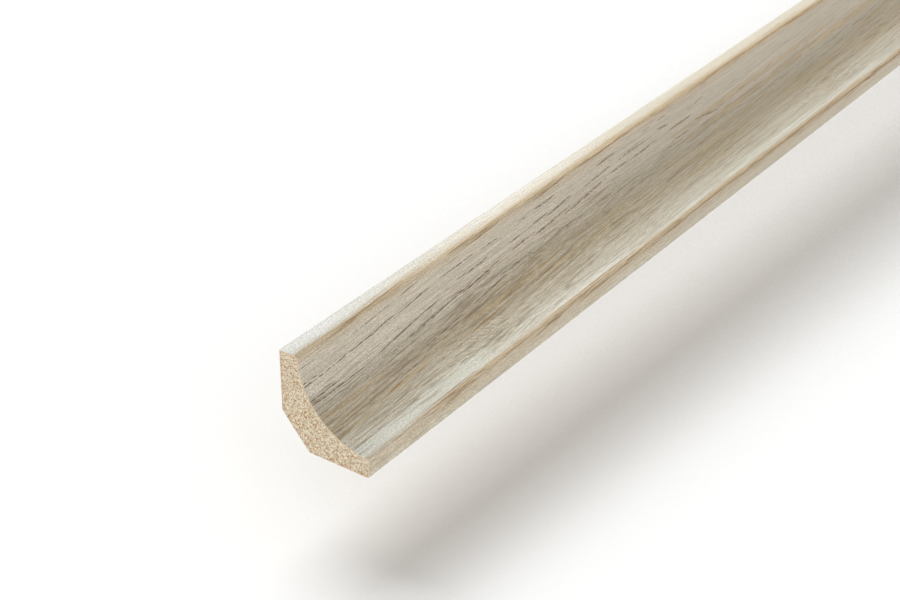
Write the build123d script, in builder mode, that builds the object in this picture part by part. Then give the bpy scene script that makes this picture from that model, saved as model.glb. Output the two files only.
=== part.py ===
from build123d import *
import os

# Stock sizes of the moulding, in millimetres
stick_length = 2400
floor_depth = 17  # from the wall out to the front lip
wall_height = 17  # from the floor up to the top lip

# Shaped face that is seen once the moulding is fitted
top_lip_width = 3.6
front_lip_height = 3.6
cove_depth = 3.9  # under a straight edge laid across the two lips
arris_radius = 0.6  # soft edge that the foil is wrapped over

# Relief along the hidden back corner, clear of a rough joint between wall and floor
relief_up_wall = 6.0
relief_along_floor = 5.1

# Printed decor foil, glued to the shaped face and trimmed just short of the floor
foil_thickness = 0.3
foil_floor_gap = 0.3

# In the section plane X runs out from the wall and Y up from the floor
section_plane = Plane(
    origin=(stick_length / 2, floor_depth / 2, 0),
    x_dir=(0, -1, 0),
    z_dir=(-1, 0, 0),
)

# Outside of the foil, from the wall over the top lip, down the cove and down the front lip
with BuildLine() as shaped_face:
    top_lip = Line((0, wall_height), (top_lip_width, wall_height))
    cove = SagittaArc(top_lip @ 1, (floor_depth, front_lip_height), -cove_depth)
    front_lip = Line(cove @ 1, (floor_depth, foil_floor_gap))
    fillet(shaped_face.vertices(), arris_radius)

# Decor foil: one even thickness, laid inwards from the shaped face
with BuildPart() as decor_foil:
    with BuildSketch(section_plane):
        with BuildLine():
            add(shaped_face.line)
            offset(amount=foil_thickness, side=Side.RIGHT)
        make_face()
    extrude(amount=stick_length)
decor_foil.part.label = "decor_foil"

# Fibreboard core: carries the foil face to face and has bare wall, relief and floor faces
with BuildPart() as fibreboard_core:
    with BuildSketch(section_plane):
        with BuildLine():
            add(shaped_face.line)
            glued_face = offset(amount=foil_thickness, side=Side.RIGHT, closed=False, mode=Mode.REPLACE)
            Polyline(
                glued_face @ 1,
                (floor_depth - foil_thickness, 0),
                (relief_along_floor, 0),
                (0, relief_up_wall),
                glued_face @ 0,
            )
        make_face()
    extrude(amount=stick_length)
fibreboard_core.part.label = "fibreboard_core"

os.makedirs("parts", exist_ok=True)
export_step(decor_foil.part, "parts/decor_foil.step")
export_step(fibreboard_core.part, "parts/fibreboard_core.step")
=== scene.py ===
import math
import bpy
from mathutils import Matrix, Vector, noise
from mathutils.geometry import delaunay_2d_cdt


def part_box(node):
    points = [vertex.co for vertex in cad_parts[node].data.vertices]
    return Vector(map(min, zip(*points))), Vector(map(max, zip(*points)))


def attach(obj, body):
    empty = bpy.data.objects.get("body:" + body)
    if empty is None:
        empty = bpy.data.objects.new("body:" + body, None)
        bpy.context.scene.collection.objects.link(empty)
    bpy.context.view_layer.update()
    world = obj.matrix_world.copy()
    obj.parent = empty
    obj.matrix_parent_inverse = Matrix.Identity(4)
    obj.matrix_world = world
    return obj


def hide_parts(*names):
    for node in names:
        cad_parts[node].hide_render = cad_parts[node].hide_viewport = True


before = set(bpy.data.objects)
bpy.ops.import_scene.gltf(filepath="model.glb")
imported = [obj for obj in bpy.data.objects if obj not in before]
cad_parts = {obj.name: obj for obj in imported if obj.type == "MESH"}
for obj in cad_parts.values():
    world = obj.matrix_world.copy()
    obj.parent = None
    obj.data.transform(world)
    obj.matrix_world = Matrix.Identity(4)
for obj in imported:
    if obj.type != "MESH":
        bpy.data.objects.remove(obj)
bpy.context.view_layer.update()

mm = 0.001
foilLow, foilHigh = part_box("decor_foil")
coreLow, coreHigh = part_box("fibreboard_core")
stickLength = (foilHigh.x - foilLow.x) / mm
print("frame loaded")

# section of the stick in millimetres: w runs out from the wall, h up from the floor
section = {
    "depth": (foilHigh.y - foilLow.y) / mm,
    "height": foilHigh.z / mm,
    "topLip": 3.6,
    "frontLip": 3.6,
    "coveDepth": 3.9,
    "arris": 0.6,
    "reliefUp": 6.0,
    "reliefOut": 5.1,
    "foil": (foilHigh.z - coreHigh.z) / mm,
    "foilGap": (foilLow.z - coreLow.z) / mm,
}


def turnPoints(centre, radius, start, end, steps):
    angles = [start + (end - start) * i / steps for i in range(steps + 1)]
    return [(centre[0] + radius * math.cos(a), centre[1] + radius * math.sin(a)) for a in angles]


def shapedLine(inset, lowEnd, lipSteps=8, arrisSteps=8, coveSteps=84):
    # top lip, arris, cove, arris and front lip, moved into the stick by the inset
    s = section
    chord = math.hypot(s["depth"] - s["topLip"], s["height"] - s["frontLip"])
    coveRadius = chord ** 2 / (8 * s["coveDepth"]) + s["coveDepth"] / 2
    middle = Vector(((s["topLip"] + s["depth"]) / 2, (s["height"] + s["frontLip"]) / 2))
    outward = Vector((s["height"] - s["frontLip"], s["depth"] - s["topLip"])).normalized()
    cove = middle + outward * (coveRadius - s["coveDepth"])
    reach = coveRadius + s["arris"]
    topH = s["height"] - s["arris"]
    frontW = s["depth"] - s["arris"]
    top = Vector((cove.x - math.sqrt(reach ** 2 - (cove.y - topH) ** 2), topH))
    front = Vector((frontW, cove.y - math.sqrt(reach ** 2 - (cove.x - frontW) ** 2)))
    topTurn = math.atan2(cove.y - top.y, cove.x - top.x)
    frontTurn = math.atan2(cove.y - front.y, cove.x - front.x)
    edgeRadius = s["arris"] - inset
    points = [(top.x * i / lipSteps, s["height"] - inset) for i in range(lipSteps)]
    points += turnPoints(top, edgeRadius, math.pi / 2, topTurn, arrisSteps)
    points += turnPoints(cove, coveRadius + inset, topTurn + math.pi, frontTurn + math.pi, coveSteps)[1:]
    points += turnPoints(front, edgeRadius, frontTurn, 0.0, arrisSteps)[1:]
    last = points[-1][1]
    points += [(s["depth"] - inset, last + (lowEnd - last) * i / lipSteps) for i in range(1, lipSteps + 1)]
    return points


def straightPoints(start, end, spacing):
    steps = max(1, round(math.dist(start, end) / spacing))
    return [tuple(Vector(start).lerp(Vector(end), i / steps)) for i in range(steps)]


def runLengths(points):
    lengths = [0.0]
    for a, b in zip(points, points[1:]):
        lengths.append(lengths[-1] + math.dist(a, b))
    return lengths


def place(x, point):
    return Vector((foilLow.x + x * mm, foilHigh.y - point[0] * mm, point[1] * mm))


def linkedObject(name, vertices, faces):
    mesh = bpy.data.meshes.new(name)
    mesh.from_pydata(vertices, [], faces)
    piece = bpy.data.objects.new(name, mesh)
    bpy.context.scene.collection.objects.link(piece)
    return piece


def finishMesh(piece, slots, smooth, maps):
    # material slots and smooth shading for each face, and a corner list for each map
    mesh = piece.data
    mesh.polygons.foreach_set("material_index", slots)
    mesh.polygons.foreach_set("use_smooth", smooth)
    for name, corners in maps.items():
        layer = mesh.uv_layers.new(name=name)
        layer.data.foreach_set("uv", [value for corner in corners for value in corner])
    mesh.update()


# small helpers for the node trees
def tone(red, green, blue):
    # a colour card's 0 to 255 values as linear light
    parts = [value / 255 for value in (red, green, blue)]
    linear = [v / 12.92 if v <= 0.04045 else ((v + 0.055) / 1.055) ** 2.4 for v in parts]
    return (*linear, 1.0)


def addNode(tree, kind, **settings):
    node = tree.nodes.new(kind)
    for key, value in settings.items():
        setattr(node, key, value)
    return node


def feed(tree, socket, value):
    if isinstance(value, bpy.types.NodeSocket):
        tree.links.new(value, socket)
    else:
        socket.default_value = value


def maths(tree, operation, *values):
    node = addNode(tree, "ShaderNodeMath", operation=operation)
    for socket, value in zip(node.inputs, values):
        feed(tree, socket, value)
    return node.outputs[0]


def remap(tree, value, low, high, start=0.0, end=1.0, kind="SMOOTHSTEP"):
    node = addNode(tree, "ShaderNodeMapRange", interpolation_type=kind)
    for socket, item in zip(node.inputs, (value, low, high, start, end)):
        feed(tree, socket, item)
    return node.outputs[0]


def blend(tree, factor, first, second, mode="MIX"):
    node = addNode(tree, "ShaderNodeMix", data_type="RGBA", blend_type=mode)
    for index, value in ((0, factor), (6, first), (7, second)):
        feed(tree, node.inputs[index], value)
    return node.outputs[2]


def tonesAlong(tree, value, span, stops):
    # colour ramp whose stops are given in millimetres
    node = addNode(tree, "ShaderNodeValToRGB")
    elements = node.color_ramp.elements
    while len(elements) < len(stops):
        elements.new(0.5)
    for element, (position, colour) in zip(elements, stops):
        element.position = position / span
        element.color = tone(*colour)
    feed(tree, node.inputs[0], maths(tree, "DIVIDE", value, span))
    return node.outputs[0]


def newGroup(name, inputs, outputs):
    group = bpy.data.node_groups.new(name, "ShaderNodeTree")
    for socketName, kind in inputs:
        group.interface.new_socket(socketName, in_out="INPUT", socket_type=kind)
    for socketName, kind in outputs:
        group.interface.new_socket(socketName, in_out="OUTPUT", socket_type=kind)
    inside = group.nodes.new("NodeGroupInput")
    outside = group.nodes.new("NodeGroupOutput")
    return group, inside.outputs, outside.inputs


def useGroup(tree, group, **values):
    node = addNode(tree, "ShaderNodeGroup", node_tree=group)
    for key, value in values.items():
        feed(tree, node.inputs[key], value)
    return node.outputs


def newMaterial(name):
    material = bpy.data.materials.new(name)
    material.use_nodes = True
    return material, material.node_tree, material.node_tree.nodes["Principled BSDF"]


def addBump(tree, shader, height, strength, distance):
    # fine relief, with its distance in millimetres
    bump = addNode(tree, "ShaderNodeBump")
    bump.inputs["Strength"].default_value = strength
    bump.inputs["Distance"].default_value = distance * mm
    feed(tree, bump.inputs["Height"], height)
    feed(tree, shader.inputs["Normal"], bump.outputs[0])


number = "NodeSocketFloat"


def makeStretchedGrain():
    # streaks of a given length and width, 0 to 1, about 0.5 on average
    names = ("Along", "Across", "Length", "Width", "Seed", "Detail")
    group, given, result = newGroup("stretchedGrain", [(n, number) for n in names], [("Grain", number)])
    spot = addNode(group, "ShaderNodeCombineXYZ")
    feed(group, spot.inputs[0], maths(group, "DIVIDE", given["Along"], given["Length"]))
    feed(group, spot.inputs[1], maths(group, "DIVIDE", given["Across"], given["Width"]))
    feed(group, spot.inputs[2], given["Seed"])
    streaks = addNode(group, "ShaderNodeTexNoise")
    feed(group, streaks.inputs["Vector"], spot.outputs[0])
    feed(group, streaks.inputs["Detail"], given["Detail"])
    streaks.inputs["Scale"].default_value = 1.0
    streaks.inputs["Roughness"].default_value = 0.55
    feed(group, result["Grain"], streaks.outputs[0])
    return group


def makeSoftBand():
    # 1 between two values, fading over the feather at both
    names = ("Value", "Low", "High", "Feather")
    group, given, result = newGroup("softBand", [(n, number) for n in names], [("Mask", number)])
    half = given["Feather"]
    rise = remap(group, given["Value"], maths(group, "SUBTRACT", given["Low"], half),
                 maths(group, "ADD", given["Low"], half))
    fall = remap(group, given["Value"], maths(group, "SUBTRACT", given["High"], half),
                 maths(group, "ADD", given["High"], half), 1.0, 0.0)
    feed(group, result["Mask"], maths(group, "MULTIPLY", rise, fall))
    return group


def makePoreStroke():
    # one printed pore, thick in the middle and pointed at its ends
    names = ("Along", "Girth", "Start", "End", "First", "Rise", "Thickness")
    group, given, result = newGroup("poreStroke", [(n, number) for n in names], [("Mask", number)])
    way = remap(group, given["Along"], given["Start"], given["End"], 0.0, 1.0, "LINEAR")
    line = maths(group, "MULTIPLY_ADD", way, given["Rise"], given["First"])
    offset = maths(group, "ABSOLUTE", maths(group, "SUBTRACT", given["Girth"], line))
    swell = maths(group, "POWER", maths(group, "PINGPONG", way, 0.5), 0.4)
    reach = maths(group, "MULTIPLY", swell, given["Thickness"])
    feed(group, result["Mask"], remap(group, offset, reach, maths(group, "MULTIPLY", reach, 0.4)))
    return group


def makeGrainLine():
    # thin winding lines, at the middle level of long streaks
    names = ("Along", "Across", "Length", "Width", "Seed", "Thinness")
    group, given, result = newGroup("grainLine", [(n, number) for n in names], [("Line", number)])
    shared = {name: given[name] for name in names[:-1]}
    level = useGroup(group, stretchedGrain, Detail=1.0, **shared)[0]
    away = maths(group, "ABSOLUTE", maths(group, "SUBTRACT", level, 0.5))
    feed(group, result["Line"], remap(group, away, given["Thinness"], 0.0))
    return group


def makeFibreMottle():
    # felted fibres, chips of a few tones and sparse specks, for a pattern size in millimetres
    inputs = [("Place", "NodeSocketVector"), ("Size", number), ("Seed", number)]
    outputs = [("Fibre", number), ("Chip", number), ("Speck", number)]
    group, given, result = newGroup("fibreMottle", inputs, outputs)
    scaled = addNode(group, "ShaderNodeVectorMath", operation="SCALE")
    feed(group, scaled.inputs[0], given["Place"])
    feed(group, scaled.inputs["Scale"], maths(group, "DIVIDE", 1.0, given["Size"]))
    felt = addNode(group, "ShaderNodeTexNoise", noise_dimensions="4D")
    feed(group, felt.inputs["Vector"], scaled.outputs[0])
    feed(group, felt.inputs["W"], given["Seed"])
    for key, value in (("Scale", 1.3), ("Detail", 3.0), ("Roughness", 0.6), ("Distortion", 0.7)):
        felt.inputs[key].default_value = value
    feed(group, result["Fibre"], felt.outputs[0])
    bent = addNode(group, "ShaderNodeVectorMath", operation="MULTIPLY_ADD")
    feed(group, bent.inputs[0], felt.outputs[1])
    bent.inputs[1].default_value = (1.4, 1.4, 1.4)
    feed(group, bent.inputs[2], scaled.outputs[0])
    chips = addNode(group, "ShaderNodeTexVoronoi", voronoi_dimensions="4D", feature="SMOOTH_F1")
    feed(group, chips.inputs["Vector"], bent.outputs[0])
    feed(group, chips.inputs["W"], given["Seed"])
    chips.inputs["Scale"].default_value = 0.75
    chips.inputs["Smoothness"].default_value = 0.35
    chipTone = addNode(group, "ShaderNodeSeparateColor")
    feed(group, chipTone.inputs[0], chips.outputs["Color"])
    feed(group, result["Chip"], chipTone.outputs[0])
    dots = addNode(group, "ShaderNodeTexNoise", noise_dimensions="4D")
    feed(group, dots.inputs["Vector"], scaled.outputs[0])
    feed(group, dots.inputs["W"], maths(group, "ADD", given["Seed"], 7.3))
    for key, value in (("Scale", 0.7), ("Detail", 1.0), ("Roughness", 0.5)):
        dots.inputs[key].default_value = value
    feed(group, result["Speck"], remap(group, dots.outputs[0], 0.64, 0.74))
    return group


stretchedGrain = makeStretchedGrain()
softBand = makeSoftBand()
poreStroke = makePoreStroke()
grainLine = makeGrainLine()
fibreMottle = makeFibreMottle()
print("node groups built")

# printed pale-oak foil
foil = {
    "lengthSteps": 24,
    "bakeRows": 4,  # lengths laid above each other in the bake map
    "ragged": 0.05,  # most that the trimmed ends fall back
    "raggedScale": 2.6,
    "roughness": (0.44, 0.58),
    "emboss": 0.05,
    "toneSpan": 27.5,  # girth that the tones below cover
    # tones across the girth, from the wall edge of the top lip to the floor
    "paleTones": [
        (0.0, (237, 236, 228)), (1.6, (232, 228, 215)), (2.1, (224, 216, 199)), (2.5, (213, 199, 172)),
        (2.9, (202, 183, 150)), (3.3, (208, 191, 161)), (3.75, (222, 208, 186)), (5.0, (225, 215, 197)),
        (9.0, (223, 213, 196)), (10.5, (217, 206, 188)), (12.0, (207, 198, 180)), (14.0, (196, 186, 166)),
        (16.0, (196, 185, 164)), (18.0, (205, 196, 176)), (20.0, (211, 203, 185)), (22.0, (211, 207, 191)),
        # the pale stop at 23.1 mm is a painted highlight along the bottom of the cove
        (23.1, (218, 215, 203)), (23.4, (209, 198, 176)), (23.75, (201, 183, 153)), (24.3, (208, 191, 163)),
        (25.0, (219, 205, 182)), (27.5, (226, 218, 200)),
    ],
    "darkTones": [
        (0.0, (219, 216, 204)), (1.6, (209, 202, 187)), (2.1, (200, 188, 166)), (2.5, (186, 168, 138)),
        (2.9, (174, 151, 115)), (3.3, (181, 161, 128)), (3.75, (198, 181, 153)), (5.0, (199, 187, 167)),
        (9.0, (195, 183, 162)), (10.5, (186, 172, 150)), (12.0, (174, 162, 140)), (14.0, (166, 153, 128)),
        (16.0, (166, 152, 125)), (18.0, (173, 161, 137)), (20.0, (181, 170, 147)), (22.0, (186, 178, 160)),
        # the paler stop at 23.1 mm is a painted highlight along the bottom of the cove
        (23.1, (195, 188, 171)), (23.4, (183, 168, 140)), (23.75, (173, 151, 117)), (24.3, (181, 160, 127)),
        (25.0, (195, 179, 151)), (27.5, (200, 188, 165)),
    ],
    "lineTone": (120, 100, 74),
    "tanTint": (0.98, 0.89, 0.74),
    "lipTint": (0.94, 0.90, 0.83),  # top lip further along
    "smudgeTone": (226, 213, 186),
    "poreTone": (94, 74, 50),
    "farPoreTone": (124, 99, 66),
    "arrisTone": (142, 108, 68),
    "washTone": (224, 225, 211),
    "tipTone": (250, 250, 245),
    # pores near the seen end: start, end, girth at both, half thickness
    "pores": [
        (-2, 5, 8.25, 8.1, 0.18), (-2, 6, 8.75, 8.5, 0.20), (3, 11, 8.6, 8.2, 0.18),
        (9, 19, 8.2, 7.7, 0.19), (18, 24, 7.6, 7.15, 0.20), (24.5, 29, 7.4, 7.05, 0.16),
        (27, 33, 7.2, 6.65, 0.20), (36, 46, 6.4, 6.15, 0.23), (48, 53, 6.35, 6.25, 0.20),
        (-2, 4, 5.65, 5.6, 0.15), (13, 24, 5.75, 5.0, 0.14), (25, 29.5, 4.9, 4.4, 0.16),
        (-3, 9, 11.2, 10.95, 0.17), (-3, 15, 11.9, 11.5, 0.18), (17, 31, 11.1, 9.7, 0.20),
        (30, 34.5, 9.8, 9.5, 0.17), (40, 43, 8.5, 8.3, 0.16), (43, 49, 8.6, 8.2, 0.27),
        (19, 35, 12.4, 10.8, 0.15), (25, 44, 12.0, 10.2, 0.19), (40, 52.5, 11.0, 9.85, 0.27),
        (55.5, 63, 9.75, 9.45, 0.28), (61.5, 68, 8.2, 7.8, 0.30), (66.5, 75.5, 8.4, 7.6, 0.36),
        (62.5, 74.5, 10.0, 9.2, 0.38), (25, 39, 14.75, 13.75, 0.18), (39, 60, 13.75, 11.9, 0.13),
        (64, 71, 5.8, 5.65, 0.42), (72, 87, 10.0, 8.8, 0.42), (80, 89, 7.8, 7.25, 0.40),
        (91, 99, 7.4, 6.7, 0.26), (88.5, 94.5, 8.6, 8.4, 0.38), (94, 105, 8.7, 8.3, 0.30),
        (106, 110, 6.75, 6.9, 0.32), (105, 113, 11.0, 11.2, 0.26), (49, 69, 17.0, 15.9, 0.13),
        (17, 27, 16.4, 15.8, 0.15), (55.5, 59, 8.45, 8.35, 0.18), (59, 62, 6.05, 5.95, 0.20),
        (92, 104, 7.3, 7.1, 0.20), (100.5, 104, 5.2, 5.05, 0.22), (106, 109.5, 5.0, 4.9, 0.22),
        (119, 128, 9.4, 10.5, 0.30), (109, 117, 10.5, 10.4, 0.25), (50, 61, 12.2, 12.0, 0.20),
        (66, 73, 12.0, 11.8, 0.20), (117, 124, 6.9, 6.2, 0.22),
    ],
    # finer lines, in the same way
    "hairs": [
        (-4, 13, 12.25, 11.9, 0.13), (-3, 10, 12.75, 12.5, 0.12), (1, 17, 13.2, 12.7, 0.11),
        (-4, 15, 16.9, 16.4, 0.15), (-3, 8, 14.5, 14.4, 0.11), (3, 18, 18.9, 18.4, 0.12),
        (-4, 12, 19.6, 19.3, 0.12), (-1, 15, 20.3, 20.0, 0.13), (-4, 11, 21.3, 21.1, 0.14),
        (5, 17, 20.9, 20.6, 0.11), (14, 33, 13.5, 12.2, 0.12), (30, 47, 15.0, 14.1, 0.12),
        (46, 64, 16.7, 15.9, 0.14), (20, 36, 18.2, 17.6, 0.13), (52, 74, 13.0, 11.9, 0.12),
        (8, 26, 10.4, 9.5, 0.10),
    ],
    # broad soft streaks, warmer or paler than the print around them
    "tanStreaks": [
        (-8, 17, 14.5, 14.3, 0.9), (-6, 15, 16.8, 16.5, 0.45), (-6, 12, 18.2, 18.0, 0.5),
        (12, 26, 17.4, 16.7, 0.7), (13, 21, 20.4, 20.2, 0.4), (33, 50, 17.3, 16.8, 0.6),
        (38, 64, 15.7, 14.9, 1.0), (55, 74, 16.7, 16.1, 0.55), (68, 86, 16.3, 15.8, 0.55),
        (78, 94, 15.3, 14.6, 0.55), (98, 114, 13.6, 13.3, 0.55), (104, 124, 17.8, 18.0, 0.6),
        (106, 128, 15.7, 15.4, 0.9), (112, 162, 11.8, 11.3, 1.2), (116, 152, 13.9, 13.6, 0.5),
        (108, 180, 9.7, 8.9, 1.3), (148, 166, 15.3, 14.8, 0.5), (154, 175, 16.6, 16.0, 0.5),
        (158, 176, 18.5, 17.5, 0.45), (156, 169, 19.6, 18.7, 0.4), (158, 170, 21.1, 20.4, 0.4),
        (150, 225, 10.9, 10.1, 1.5), (176, 198, 16.3, 16.0, 0.7), (180, 196, 17.6, 17.2, 0.45),
        (190, 240, 13.0, 12.5, 0.9),
    ],
    "paleStreaks": [
        (-12, 24, 10.3, 10.0, 1.4), (8, 36, 9.0, 8.5, 0.9), (-12, 20, 20.0, 19.6, 1.8),
        (14, 34, 18.9, 18.5, 0.7), (-10, 22, 21.6, 21.6, 1.0), (-20, 34, 1.0, 1.2, 1.5),
        (-12, 16, 23.0, 23.0, 0.5), (-14, 13, 24.6, 24.5, 0.5), (-16, 18, 3.5, 3.3, 0.5),
        (30, 48, 24.7, 24.5, 0.3), (82, 118, 24.6, 24.5, 0.3), (84, 118, 3.8, 3.7, 0.4),
    ],
    # brown marks, most of them along the two arrises
    "arrisMarks": [
        (4, 27, 3.95, 2.65, 0.16), (10, 27, 3.5, 2.75, 0.14), (14, 28, 3.25, 2.5, 0.18),
        (0, 12, 4.6, 3.9, 0.12), (39, 48, 3.4, 2.95, 0.18), (44, 54, 4.1, 3.6, 0.30),
        (57, 63, 3.0, 2.8, 0.16), (64, 74, 4.1, 3.6, 0.28), (14, 29, 24.1, 23.6, 0.14),
        (18, 28, 25.2, 24.3, 0.26), (20, 27, 24.7, 24.1, 0.20), (43, 52, 25.3, 24.6, 0.22),
        (56, 70, 24.2, 23.8, 0.20), (59, 69, 24.9, 24.5, 0.36), (10, 14, 27.0, 26.6, 0.14),
        (110, 118, 8.2, 8.2, 0.42), (84.5, 91, 5.6, 5.45, 0.4), (37, 46, 17.2, 16.8, 0.34),
        (14, 18, 17.2, 16.9, 0.26), (16, 30, 23.4, 23.2, 0.2), (52, 80, 23.5, 23.3, 0.24),
        (86, 118, 24.5, 24.1, 0.16), (112, 160, 24.3, 24.0, 0.2), (150, 210, 24.4, 24.1, 0.24),
        (80, 104, 3.6, 3.1, 0.22), (118, 142, 3.4, 3.0, 0.22), (136, 176, 3.3, 3.0, 0.3),
        (165, 220, 3.4, 3.0, 0.26),
    ],
}


def makeFoilPrint():
    material, tree, shader = newMaterial("printedOakFoil")
    sheet = addNode(tree, "ShaderNodeUVMap", uv_map="foilSheet")
    parts = addNode(tree, "ShaderNodeSeparateXYZ")
    feed(tree, parts.inputs[0], sheet.outputs[0])
    along, girth = parts.outputs[0], parts.outputs[1]

    def plus(first, second):
        return maths(tree, "ADD", first, second)

    def times(first, second):
        return maths(tree, "MULTIPLY", first, second)

    def timesPlus(value, factor, added):
        return maths(tree, "MULTIPLY_ADD", value, factor, added)

    def most(first, second):
        return maths(tree, "MAXIMUM", first, second)

    def step(value, low, high, start=0.0, end=1.0):
        return remap(tree, value, low, high, start, end)

    def grain(across, length, width, seed, detail=2.0):
        return useGroup(tree, stretchedGrain, Along=along, Across=across, Length=length, Width=width,
                        Seed=seed, Detail=detail)[0]

    def lines(across, length, width, seed, thinness):
        return useGroup(tree, grainLine, Along=along, Across=across, Length=length, Width=width,
                        Seed=seed, Thinness=thinness)[0]

    def band(value, low, high, feather):
        return useGroup(tree, softBand, Value=value, Low=low, High=high, Feather=feather)[0]

    def sway(value, amount):
        return times(maths(tree, "SUBTRACT", value, 0.5), amount)

    def strokes(rows, across):
        total = 0.0
        for start, end, first, last, thickness in rows:
            one = useGroup(tree, poreStroke, Along=along, Girth=across, Start=start, End=end,
                           First=first, Rise=last - first, Thickness=thickness)[0]
            total = most(total, one)
        return total

    # slightly shaken girth, for the listed strokes
    shake = maths(tree, "SINE", times(along, 1.3))
    rough = timesPlus(shake, 0.025, girth)
    shiver = maths(tree, "SINE", timesPlus(along, 5.1, times(girth, 2.3)))
    rough = timesPlus(shiver, 0.02, rough)

    # grain lines climb slowly along the stick, in long waves
    wave = maths(tree, "SINE", times(maths(tree, "SUBTRACT", along, 20.0), 2 * math.pi / 140))
    climb = timesPlus(along, 0.028, girth)
    climb = timesPlus(wave, step(girth, 12.0, 19.0, 0.49, -0.4), climb)
    slow = plus(climb, sway(grain(girth, 260.0, 60.0, 3.1, 0.0), 3.0))
    run = plus(slow, sway(grain(girth, 26.0, 5.0, 4.7, 1.0), 1.2))

    # curl figure: a few places where the lines turn across the stick
    curl = times(band(along, 26.0, 46.0, 6.0), band(girth, 17.4, 21.0, 1.3))
    farCurl = times(band(along, 148.0, 178.0, 9.0), band(girth, 17.6, 21.2, 1.3))
    rareCurl = times(step(grain(girth, 70.0, 9.0, 9.2, 0.0), 0.62, 0.74), band(girth, 13.0, 21.0, 2.0))
    rareCurl = times(rareCurl, step(along, 190.0, 240.0))
    curl = most(most(curl, farCurl), rareCurl)
    turned = plus(run, times(curl, sway(grain(girth, 5.0, 2.6, 5.5, 1.0), 2.0)))

    # streaks from broad to very fine, with short cross flecks in the curl
    fine = grain(turned, 14.0, 0.34, 13.0)
    fleck = grain(turned, 2.2, 0.20, 14.0, 1.0)
    cross = grain(timesPlus(along, -0.5, girth), 2.4, 0.32, 22.0, 1.0)
    middling = step(along, 60.0, 160.0, 1.4, 2.6)
    streak = plus(sway(grain(run, 120.0, 3.2, 11.0), 0.9), sway(grain(turned, 45.0, 0.9, 12.0), middling))
    streak = plus(streak, sway(fine, 3.4))
    calm = times(step(girth, 9.0, 12.0, 1.2, 2.2), step(along, 60.0, 160.0, 1.0, 0.4))
    streak = plus(streak, sway(fleck, calm))
    streak = plus(streak, times(curl, sway(cross, 4.0)))
    near = step(along, 30.0, 150.0, 1.0, 0.55)
    streak = remap(tree, times(streak, near), -0.73, 0.73, 0.0, 1.0, "LINEAR")

    # the bands along the arrises are uneven, with torn edges
    uneven = plus(girth, sway(grain(girth, 22.0, 6.0, 6.1, 1.0), 0.7))
    uneven = plus(uneven, sway(grain(girth, 4.0, 0.5, 6.6), 0.7))
    nearShift = times(step(along, 26.0, 6.0), step(girth, 2.4, 3.4, 0.9, 0.3))
    uneven = maths(tree, "SUBTRACT", uneven, nearShift)
    pale = tonesAlong(tree, uneven, foil["toneSpan"], foil["paleTones"])
    dark = tonesAlong(tree, uneven, foil["toneSpan"], foil["darkTones"])
    colour = blend(tree, streak, dark, pale)
    warm = times(step(along, 24.0, 140.0), step(girth, 4.0, 2.6))
    colour = blend(tree, warm, colour, (*foil["lipTint"], 1.0), "MULTIPLY")

    # cream smudges on the top lip
    smudge = step(grain(girth, 3.0, 0.7, 25.0, 1.0), 0.50, 0.64, 0.0, 0.5)
    smudge = times(smudge, step(girth, 2.6, 1.8))
    colour = blend(tree, smudge, colour, tone(*foil["smudgeTone"]))

    # tan streaks in the middle of the cove: listed near the seen end, by noise further on
    tan = step(grain(turned, 34.0, 1.9, 20.0), 0.42, 0.62)
    tan = times(tan, band(girth, 12.6, 18.0, 1.2))
    tan = times(tan, step(along, 160.0, 240.0, 0.25, 1.0))
    handTan = times(strokes(foil["tanStreaks"], rough), step(fine, 0.36, 0.6, 0.45, 1.0))
    colour = blend(tree, most(tan, handTan), colour, (*foil["tanTint"], 1.0), "MULTIPLY")
    fair = times(strokes(foil["paleStreaks"], rough), 0.8)
    colour = blend(tree, fair, colour, pale)

    # whiter print on both lips at the very end
    tip = times(band(girth, 20.8, 24.8, 0.5), 0.2)
    tip = most(tip, step(girth, 2.6, 1.6, 0.0, 0.55))
    tip = times(tip, step(along, 24.0, 6.0))
    colour = blend(tree, tip, colour, tone(*foil["tipTone"]))

    # limed patches in the pale band under it, widest a little way in from the seen end
    torn = plus(uneven, sway(fleck, 2.0))
    wide = times(band(torn, 20.2, 23.3, 0.5), band(along, 15.0, 35.0, 5.0))
    limed = most(step(grain(run, 26.0, 1.6, 19.0), 0.50, 0.66), step(along, 45.0, 20.0))
    wash = times(times(band(torn, 21.4, 23.3, 0.4), limed), 0.5)
    wash = most(wash, times(wide, 0.6))
    colour = blend(tree, wash, colour, tone(*foil["washTone"]))

    # thin dark grain lines, broken along their length, strongest in the middle of the cove
    thin = lines(turned, 42.0, 1.1, 31.0, 0.045)
    thin = most(thin, step(grain(turned, 26.0, 0.22, 34.0, 1.0), 0.56, 0.66))
    thin = times(thin, step(grain(run, 6.0, 0.5, 33.0, 1.0), 0.38, 0.58))
    faint = timesPlus(band(girth, 10.0, 22.6, 1.2), 0.45, 0.15)
    faint = times(faint, step(girth, 1.6, 3.6, 0.25, 1.0))
    faint = times(faint, near)
    dots = grain(girth, 0.8, 0.2, 7.7, 1.0)
    hair = times(strokes(foil["hairs"], rough), step(dots, 0.36, 0.56, 0.25, 0.8))
    thin = most(times(thin, faint), hair)
    colour = blend(tree, thin, colour, tone(*foil["lineTone"]))
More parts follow.
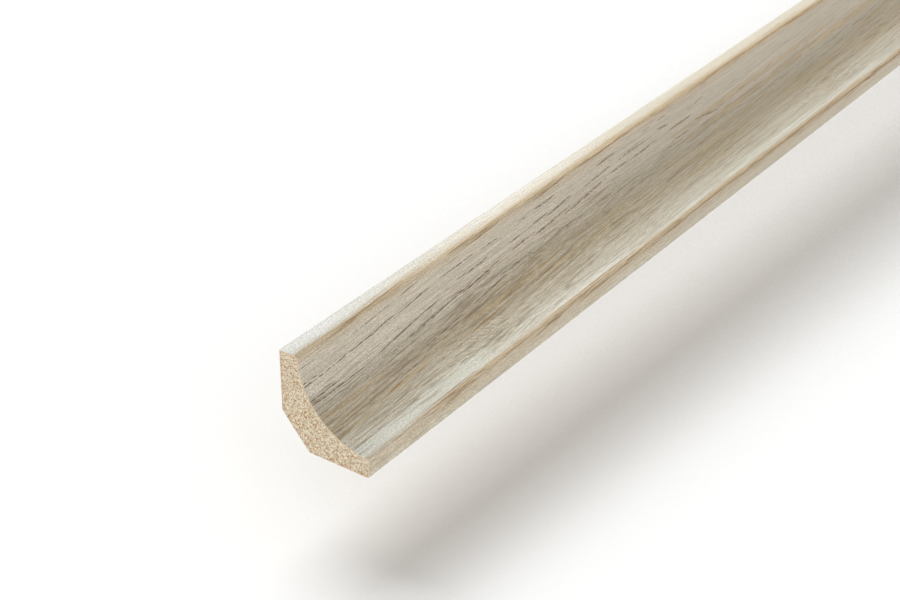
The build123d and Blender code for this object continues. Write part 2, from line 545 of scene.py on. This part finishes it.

    # pores: listed near the seen end, by noise further on
    pore = times(strokes(foil["pores"], rough), step(dots, 0.38, 0.53, 0.12, 1.0))
    pore = times(pore, step(along, 45.0, 80.0, 1.0, 0.75))
    dashes = step(grain(run, 7.0, 0.26, 15.0, 1.0), 0.66, 0.74)
    rows = step(grain(run, 60.0, 1.7, 16.0, 0.0), 0.48, 0.60)
    patches = step(grain(girth, 170.0, 14.0, 17.0, 0.0), 0.36, 0.56)
    dashes = times(times(dashes, rows), patches)
    dashes = times(dashes, band(girth, 4.0, 14.5, 1.5))
    dashes = times(dashes, step(along, 85.0, 130.0, 0.35, 0.8))
    pore = most(pore, dashes)
    distant = step(along, 45.0, 80.0)
    poreTone = blend(tree, distant, tone(*foil["poreTone"]), tone(*foil["farPoreTone"]))
    colour = blend(tree, pore, colour, poreTone)

    # brown marks along both arrises
    ticks = step(grain(girth, 8.0, 0.36, 18.0), 0.54, 0.68, 0.0, 0.7)
    arris = most(band(girth, 2.8, 3.8, 0.35), band(girth, 23.7, 25.2, 0.4))
    marks = times(strokes(foil["arrisMarks"], rough), step(fleck, 0.3, 0.6, 0.3, 0.85))
    marks = most(marks, times(ticks, arris))
    colour = blend(tree, marks, colour, tone(*foil["arrisTone"]))

    # dust of the print screen
    dust = plus(sway(grain(girth, 0.34, 0.16, 21.0, 0.0), 1.0), sway(fleck, 0.3))
    dust = times(dust, times(near, step(girth, 1.5, 4.0, 0.95, 1.0)))
    dust = times(dust, step(girth, 24.0, 25.5, 1.0, 1.5))
    colour = blend(tree, 1.0, colour, plus(dust, 1.0), "MULTIPLY")
    feed(tree, shader.inputs["Base Color"], colour)

    # satin-matt print, duller along pores, with a faint embossed grain
    low, high = foil["roughness"]
    sheen = remap(tree, fine, 0.3, 0.7, low, high, "LINEAR")
    feed(tree, shader.inputs["Roughness"], timesPlus(pore, 0.18, sheen))
    shader.inputs["Specular IOR Level"].default_value = 0.4
    relief = grain(climb, 15.0, 0.32, 23.0, 1.0)
    relief = plus(relief, times(grain(climb, 3.0, 0.2, 24.0, 1.0), 0.6))
    addBump(tree, shader, relief, 0.5, foil["emboss"])
    return material


def stickPlace(tree):
    # place on the stick in millimetres, from its own middle
    spot = addNode(tree, "ShaderNodeTexCoord")
    scaled = addNode(tree, "ShaderNodeVectorMath", operation="SCALE")
    feed(tree, scaled.inputs[0], spot.outputs["Object"])
    scaled.inputs["Scale"].default_value = 1000.0
    parts = addNode(tree, "ShaderNodeSeparateXYZ")
    feed(tree, parts.inputs[0], scaled.outputs[0])
    return scaled.outputs[0], parts.outputs


# cut edge and glued back of the foil
paperEdge = {"pale": (238, 224, 200), "dark": (212, 184, 146), "fibre": 0.22, "relief": 0.03}


def makeFoilPaper():
    material, tree, shader = newMaterial("foilPaperEdge")
    felt = useGroup(tree, fibreMottle, Place=stickPlace(tree)[0], Size=paperEdge["fibre"], Seed=2.0)
    factor = remap(tree, felt["Fibre"], 0.3, 0.7)
    colour = blend(tree, factor, tone(*paperEdge["dark"]), tone(*paperEdge["pale"]))
    feed(tree, shader.inputs["Base Color"], colour)
    feed(tree, shader.inputs["Roughness"], remap(tree, felt["Chip"], 0.0, 1.0, 0.7, 0.9, "LINEAR"))
    addBump(tree, shader, felt["Fibre"], 0.4, paperEdge["relief"])
    return material


# places in the foil's bake map: narrow strips for the hidden and trimmed faces, then the print
foilMap = {
    "glued": (0.004, 0.022),
    "frontEdge": (0.026, 0.032),
    "wallEdge": (0.036, 0.042),
    "ends": (0.048, 0.060),
    "endHeight": 0.008,
    "printLow": 0.075,
    "printHeight": 0.92,
    "rowFill": 0.97,
    "margin": 0.004,
}


def makeFoil():
    outer = shapedLine(0.0, section["foilGap"])
    inner = shapedLine(section["foil"], section["foilGap"])
    ring = outer + inner[::-1]
    count, half = len(ring), len(outer)
    girths = runLengths(outer)
    steps, rows = foil["lengthSteps"], foil["bakeRows"]
    xs = [stickLength * i / steps for i in range(steps + 1)]
    vertices = []
    for i, x in enumerate(xs):
        for j, point in enumerate(ring):
            inward = {0: 1, steps: -1}.get(i, 0)
            spot = Vector(point) * foil["raggedScale"]
            fall = 0.5 + 0.5 * noise.noise(Vector((*spot, i * 3.7)))
            vertices.append(place(x + inward * fall * foil["ragged"], point))
    faces, slots, smooth, sheet, bake = [], [], [], [], []

    def addFace(corners, slot, soft, sheetSpots, bakeSpots):
        faces.append(corners)
        slots.append(slot)
        smooth.append(soft)
        sheet.extend(sheetSpots)
        bake.extend(bakeSpots)

    def rowSpot(i, j, row):
        # the print lies in rows that fill most of the bake map
        margin = foilMap["margin"]
        across = margin + (i * rows / steps - row) * (1 - 2 * margin)
        share = (row + foilMap["rowFill"] * girths[j] / girths[-1]) / rows
        return across, foilMap["printLow"] + share * foilMap["printHeight"]

    for i in range(steps):
        row = i * rows // steps
        for j in range(count):
            k = (j + 1) % count
            corners = (i * count + j, i * count + k, (i + 1) * count + k, (i + 1) * count + j)
            if j < half - 1:
                spots = ((i, j), (i, k), (i + 1, k), (i + 1, j))
                printSpots = [(xs[a], girths[b]) for a, b in spots]
                addFace(corners, 0, True, printSpots, [rowSpot(a, b, row) for a, b in spots])
                continue
            # glued back and the two long trimmed edges share narrow strips
            glued = half <= j < count - 1
            if glued:
                low, high = foilMap["glued"]
                a, b = [low + (high - low) * (count - 1 - n) / (half - 1) for n in (j, k)]
            else:
                a, b = foilMap["frontEdge" if j == half - 1 else "wallEdge"]
            start, end = i / steps, (i + 1) / steps
            spots = [(start, a), (start, b), (end, b), (end, a)]
            addFace(corners, 1, glued, [(xs[i], girths[-1])] * 4, spots)
    for base, flip, low in zip((0, steps * count), (False, True), foilMap["ends"]):
        high = low + foilMap["endHeight"]
        for j in range(half - 1):
            corners = (base + j, base + count - 1 - j, base + count - 2 - j, base + j + 1)
            a, b = girths[j] / girths[-1], girths[j + 1] / girths[-1]
            spots = [(a, low), (a, high), (b, high), (b, low)]
            if flip:
                corners, spots = corners[::-1], spots[::-1]
            addFace(corners, 1, False, [(0.0, girths[j])] * 4, spots)
    piece = linkedObject("decorFoil", vertices, faces)
    piece.data.materials.append(makeFoilPrint())
    piece.data.materials.append(makeFoilPaper())
    finishMesh(piece, slots, smooth, {"foilSheet": sheet, "OFBake": bake})
    return piece


# fibreboard stick
board = {
    "lengthSteps": 24,
    "bakeRows": 6,
    "edgeSpacing": 0.3,
    "sawSpacing": 0.16,  # between points of the sawn ends
    "sawDepth": 0.05,  # how far fibres are torn in and out
    "setBack": 0.07,
    "chip": 0.17,
    "sawnDarkAndPitShade": (172, 118, 57),
    "sawnPaleAndHighlight": (253, 243, 216),
    "greyAndGlintTone": (205, 196, 178),
    "speckTone": (202, 144, 76),
    "rimTone": (196, 144, 94),
    "sawnRelief": 0.08,
    "mouldedFibre": 0.8,
    "mouldedDark": (188, 163, 128),
    "mouldedPale": (212, 192, 161),
    "mouldedRelief": 0.05,
}


def outlineDistance(tree, parts):
    # how far a point of the sawn end is from the bare outline
    across = maths(tree, "SUBTRACT", foilHigh.y / mm, parts[1])
    height = parts[2]
    up, out = section["reliefUp"], section["reliefOut"]
    lean = math.hypot(up, out)
    relief = maths(tree, "MULTIPLY_ADD", across, up / lean, maths(tree, "MULTIPLY", height, out / lean))
    relief = maths(tree, "SUBTRACT", relief, up * out / lean)
    return maths(tree, "MINIMUM", relief, maths(tree, "MINIMUM", across, height))


def makeSawnBoard():
    material, tree, shader = newMaterial("sawnFibreboard")
    spot, parts = stickPlace(tree)
    felt = useGroup(tree, fibreMottle, Place=spot, Size=board["chip"], Seed=1.0)
    broad = useGroup(tree, fibreMottle, Place=spot, Size=board["chip"] * 1.6, Seed=5.0)
    # fibre mottle: real fibre tones with painted shade in the pits and painted highlights on the chips; the
    # greyer chips are partly painted glints
    mottle = maths(tree, "MULTIPLY_ADD", felt["Chip"], 0.35, felt["Fibre"])
    mottle = maths(tree, "MULTIPLY_ADD", broad["Fibre"], 0.15, mottle)
    factor = remap(tree, mottle, 0.58, 0.85, 0.0, 1.0, "LINEAR")
    colour = blend(tree, factor, tone(*board["sawnDarkAndPitShade"]), tone(*board["sawnPaleAndHighlight"]))
    grey = remap(tree, broad["Chip"], 0.45, 0.8, 0.0, 0.4)
    colour = blend(tree, grey, colour, tone(*board["greyAndGlintTone"]))
    speck = maths(tree, "MULTIPLY", broad["Speck"], 0.7)
    colour = blend(tree, speck, colour, tone(*board["speckTone"]))
    rim = remap(tree, outlineDistance(tree, parts), 0.0, 0.45, 1.0, 0.0)
    rim = maths(tree, "MULTIPLY", rim, remap(tree, felt["Fibre"], 0.40, 0.60, 0.9, 0.1))
    colour = blend(tree, rim, colour, tone(*board["rimTone"]))
    feed(tree, shader.inputs["Base Color"], colour)
    feed(tree, shader.inputs["Roughness"], remap(tree, broad["Fibre"], 0.3, 0.7, 0.78, 0.95, "LINEAR"))
    shader.inputs["Specular IOR Level"].default_value = 0.25
    relief = maths(tree, "MULTIPLY_ADD", broad["Fibre"], 0.6, felt["Fibre"])
    addBump(tree, shader, relief, 0.6, board["sawnRelief"])
    return material


def makeMouldedBoard():
    material, tree, shader = newMaterial("mouldedFibreboard")
    spot, parts = stickPlace(tree)
    felt = useGroup(tree, fibreMottle, Place=spot, Size=board["mouldedFibre"], Seed=3.0)
    across = maths(tree, "MULTIPLY_ADD", parts[2], 0.8, parts[1])
    tracks = useGroup(tree, stretchedGrain, Along=parts[0], Across=across, Length=90.0, Width=0.35,
                      Seed=21.0, Detail=2.0)[0]
    factor = maths(tree, "MULTIPLY_ADD", felt["Fibre"], 0.7, maths(tree, "MULTIPLY", tracks, 0.4))
    factor = remap(tree, factor, 0.35, 0.75, 0.0, 1.0, "LINEAR")
    colour = blend(tree, factor, tone(*board["mouldedDark"]), tone(*board["mouldedPale"]))
    speck = maths(tree, "MULTIPLY", felt["Speck"], 0.4)
    colour = blend(tree, speck, colour, tone(*board["speckTone"]))
    feed(tree, shader.inputs["Base Color"], colour)
    feed(tree, shader.inputs["Roughness"], remap(tree, felt["Chip"], 0.0, 1.0, 0.62, 0.80, "LINEAR"))
    addBump(tree, shader, maths(tree, "ADD", felt["Fibre"], tracks), 0.4, board["mouldedRelief"])
    return material


def insideOutline(point, outline):
    inside = False
    for (x1, y1), (x2, y2) in zip(outline, outline[1:] + outline[:1]):
        if (y1 > point[1]) != (y2 > point[1]):
            if point[0] < x1 + (point[1] - y1) * (x2 - x1) / (y2 - y1):
                inside = not inside
    return inside


def sawnPoints(outline, seed):
    # points over the sawn end, shaken off their grid
    gap = board["sawSpacing"]
    points = []
    for i in range(int(section["depth"] / gap) + 1):
        for j in range(int(section["height"] / gap) + 1):
            # two plain noises, since noise_vector changes from run to run
            spot = Vector((i * 1.37, j * 1.91, seed + 0.3))
            across, up = noise.noise(spot), noise.noise(spot + Vector((0.0, 0.0, 50.4)))
            point = (i * gap + across * gap * 0.45, j * gap + up * gap * 0.45)
            if not insideOutline(point, outline):
                continue
            if min(math.dist(point, other) for other in outline) > gap * 0.7:
                points.append(point)
    return points


def sawDepth(point, seed):
    spot = Vector((point[0], point[1], seed * 5.0))
    torn = noise.noise(spot * 1.9) + 0.8 * noise.noise(spot * 4.3)
    return board["setBack"] + board["sawDepth"] * max(-1.0, min(1.0, torn))


# places in the board's bake map: rows of bare and glued faces, with the two sawn ends above them
boardMap = {
    "rowLow": 0.01,
    "rowPitch": 0.094,
    "bareHeight": 0.078,
    "gluedLow": 0.081,
    "gluedHeight": 0.008,
    "margin": 0.004,
    "endLefts": (0.01, 0.45),
    "endLow": 0.59,
    "endSize": 0.4,
}


def makeCore():
    shaped = shapedLine(section["foil"], 0.0)
    turns = (shaped[-1], (section["reliefOut"], 0.0), (0.0, section["reliefUp"]), shaped[0])
    bare = []
    for start, end in zip(turns, turns[1:]):
        bare += straightPoints(start, end, board["edgeSpacing"])
    ring = shaped + bare[1:]
    count, glued = len(ring), len(shaped)
    bareRun = runLengths(bare + [shaped[0]])
    steps, rows = board["lengthSteps"], board["bakeRows"]
    vertices = []
    for i in range(steps + 1):
        inward = {0: 1, steps: -1}.get(i, 0)
        vertices += [place(stickLength * i / steps + inward * sawDepth(p, i + 1), p) for p in ring]
    faces, slots, smooth, bake = [], [], [], []
    for i in range(steps):
        row = i * rows // steps
        base = boardMap["rowLow"] + row * boardMap["rowPitch"]
        span = 1 - 2 * boardMap["margin"]
        start, end = [boardMap["margin"] + (n * rows / steps - row) * span for n in (i, i + 1)]
        for j in range(count):
            k = (j + 1) % count
            faces.append((i * count + j, i * count + k, (i + 1) * count + k, (i + 1) * count + j))
            if j < glued - 1:
                low = base + boardMap["gluedLow"]
                a, b = [low + boardMap["gluedHeight"] * n / glued for n in (j, j + 1)]
            else:
                n = j - glued + 1
                a, b = [base + boardMap["bareHeight"] * bareRun[m] / bareRun[-1] for m in (n, n + 1)]
            bake.extend([(start, a), (start, b), (end, b), (end, a)])
            slots.append(1)
            smooth.append(j < glued - 1)
    low, size = boardMap["endLow"], boardMap["endSize"]
    for i, left in zip((0, steps), boardMap["endLefts"]):
        inside = sawnPoints(ring, i + 1)
        points = [Vector(p) for p in ring + inside]
        edges = [(j, (j + 1) % count) for j in range(count)]
        found = delaunay_2d_cdt(points, edges, [], 1, 1e-5)
        base = len(vertices)
        inward = -1 if i else 1
        vertices += [place(stickLength * i / steps + inward * sawDepth(p, i + 1), p) for p in inside]
        origins = [group[0] for group in found[3]]
        for triangle in found[2]:
            corners = [origins[n] for n in triangle]
            if i:
                corners = corners[::-1]
            faces.append(tuple(i * count + n if n < count else base + n - count for n in corners))
            for n in corners:
                across, up = points[n].x / section["depth"], points[n].y / section["height"]
                bake.append((left + size * across, low + size * up))
            slots.append(0)
            smooth.append(True)
    piece = linkedObject("fibreboardCore", vertices, faces)
    piece.data.materials.append(makeSawnBoard())
    piece.data.materials.append(makeMouldedBoard())
    finishMesh(piece, slots, smooth, {"OFBake": bake})
    sharpenSlotEdges(piece.data)
    return piece


def sharpenSlotEdges(mesh):
    # keeps a crisp edge where two finishes meet
    finishes = {}
    for polygon in mesh.polygons:
        for key in polygon.edge_keys:
            finishes.setdefault(key, set()).add(polygon.material_index)
    sharp = mesh.attributes.new("sharp_edge", "BOOLEAN", "EDGE")
    keys = mesh.edge_keys
    sharp.data.foreach_set("value", [len(finishes[key]) > 1 for key in keys])


foilPiece = makeFoil()
print("foil made")
corePiece = makeCore()
print("fibreboard made")
for piece, node, slot in (
    (foilPiece, "decor_foil", "decor_foil"),
    (corePiece, "fibreboard_core", "fibreboard"),
):
    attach(piece, "root")
    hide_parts(node)
print("pieces placed")

# camera near the cut end, as the photograph has it
view = {"place": (-188.48, -168.67, 175.78), "heading": 35.909, "down": 30.795, "lens": 78.03}
cameraData = bpy.data.cameras.new("studioCamera")
cameraData.lens = view["lens"]
cameraData.sensor_width = 36
camera = bpy.data.objects.new("studioCamera", cameraData)
bpy.context.scene.collection.objects.link(camera)
camera.location = Vector((foilLow.x, foilHigh.y, 0)) + Vector(view["place"]) * mm
heading, down = math.radians(view["heading"]), math.radians(view["down"])
look = Vector((math.cos(heading) * math.cos(down), math.sin(heading) * math.cos(down), -math.sin(down)))
camera.rotation_euler = look.to_track_quat("-Z", "Y").to_euler()
bpy.context.scene.camera = camera

# white paper ground below the stick, one high soft lamp and a weaker one from the camera's side
stage = {
    "drop": (17.5, 28.0),  # how far the paper lies below the seen end, and below the rest
    "sink": (-70, 270),  # places along the stick between which the paper sinks
    "sinkSteps": 34,
    "size": 60,
    "fineHalf": 1.0,  # half width of the paper's middle strip
    "bounce": (0.92, 0.92, 0.92),
    "ground": (0.96, 0.985, 1.0),
    "lift": (0.06, 0.04, 0.02),
    # painted shade close under the stick, darker where the paper lies low
    "paintedCloseShade": (0.5, 1.25),  # darkening close under the stick, where the paper is high and low
    "closeReach": 70,
    "sky": 0.15,
    "key": {"energy": 2.6, "angle": 48, "from": (0.25, 0.55, 1.0)},
    "fill": {"energy": 1.75, "angle": 80, "from": (-0.78, -0.62, 0.26)},
}


def seenRays(tree):
    # 1 for what the camera sees, straight, mirrored or through glass
    ray = addNode(tree, "ShaderNodeLightPath").outputs
    mirrored = maths(tree, "MAXIMUM", ray["Is Glossy Ray"], ray["Is Transmission Ray"])
    return maths(tree, "MAXIMUM", ray["Is Camera Ray"], mirrored)


def makeGroundPaper():
    material = bpy.data.materials.new("whiteGround")
    material.use_nodes = True
    tree = material.node_tree
    tree.nodes.clear()
    seen = seenRays(tree)
    # painted shade: the paper's seen colour is darkened where the stick hides the sky, more where the paper
    # lies low
    openSky = addNode(tree, "ShaderNodeAmbientOcclusion", samples=4)
    openSky.inputs["Distance"].default_value = stage["closeReach"] * mm
    parts = addNode(tree, "ShaderNodeSeparateXYZ")
    feed(tree, parts.inputs[0], addNode(tree, "ShaderNodeTexCoord").outputs["Object"])
    high, low = [-drop * mm for drop in stage["drop"]]
    depth = remap(tree, parts.outputs[2], high, low, *stage["paintedCloseShade"], "LINEAR")
    paintedShade = maths(tree, "POWER", openSky.outputs["AO"], depth)
    shown = blend(tree, 1.0, (*stage["ground"], 1), paintedShade, "MULTIPLY")
    diffuse = addNode(tree, "ShaderNodeBsdfDiffuse")
    feed(tree, diffuse.inputs["Color"], blend(tree, seen, (*stage["bounce"], 1), shown))
    lift = addNode(tree, "ShaderNodeEmission")
    lift.inputs["Color"].default_value = (*stage["lift"], 1)
    feed(tree, lift.inputs["Strength"], seen)
    total = addNode(tree, "ShaderNodeAddShader")
    feed(tree, total.inputs[0], diffuse.outputs[0])
    feed(tree, total.inputs[1], lift.outputs[0])
    output = addNode(tree, "ShaderNodeOutputMaterial")
    feed(tree, output.inputs["Surface"], total.outputs[0])
    return material


def makeGround():
    half, fine, steps = stage["size"] / 2, stage["fineHalf"], stage["sinkSteps"]
    first, last = stage["sink"]
    high, low = stage["drop"]
    rows = [(-half, high)]
    for i in range(steps + 1):
        way = i / steps
        drop = high + (low - high) * way * way * (3 - 2 * way)
        rows.append((foilLow.x + (first + (last - first) * way) * mm, drop))
    rows.append((half, low))
    sides = (-half, -fine, fine, half)
    wide = len(sides)
    corners = [(x, y, -drop * mm) for x, drop in rows for y in sides]
    starts = [wide * i + j for i in range(len(rows) - 1) for j in range(wide - 1)]
    faces = [(n, n + wide, n + wide + 1, n + 1) for n in starts]
    ground = linkedObject("ground", corners, faces)
    ground.data.polygons.foreach_set("use_smooth", [True] * len(faces))
    ground.data.materials.append(makeGroundPaper())
    return ground


def makeSky():
    world = bpy.data.worlds.new("studioSky")
    bpy.context.scene.world = world
    world.use_nodes = True
    tree = world.node_tree
    background = tree.nodes["Background"]
    background.inputs["Color"].default_value = (1, 1, 1, 1)
    feed(tree, background.inputs["Strength"], remap(tree, seenRays(tree), 0.0, 1.0, stage["sky"], 1.0))


makeGround()
makeSky()
for name in ("key", "fill"):
    lamp = bpy.data.lights.new(name + "Lamp", "SUN")
    lamp.energy = stage[name]["energy"]
    lamp.angle = math.radians(stage[name]["angle"])
    lampObject = bpy.data.objects.new(name + "Lamp", lamp)
    bpy.context.scene.collection.objects.link(lampObject)
    lampObject.rotation_euler = (-Vector(stage[name]["from"])).to_track_quat("-Z", "Y").to_euler()
bpy.context.scene.view_settings.view_transform = "Standard"
print("stage set")
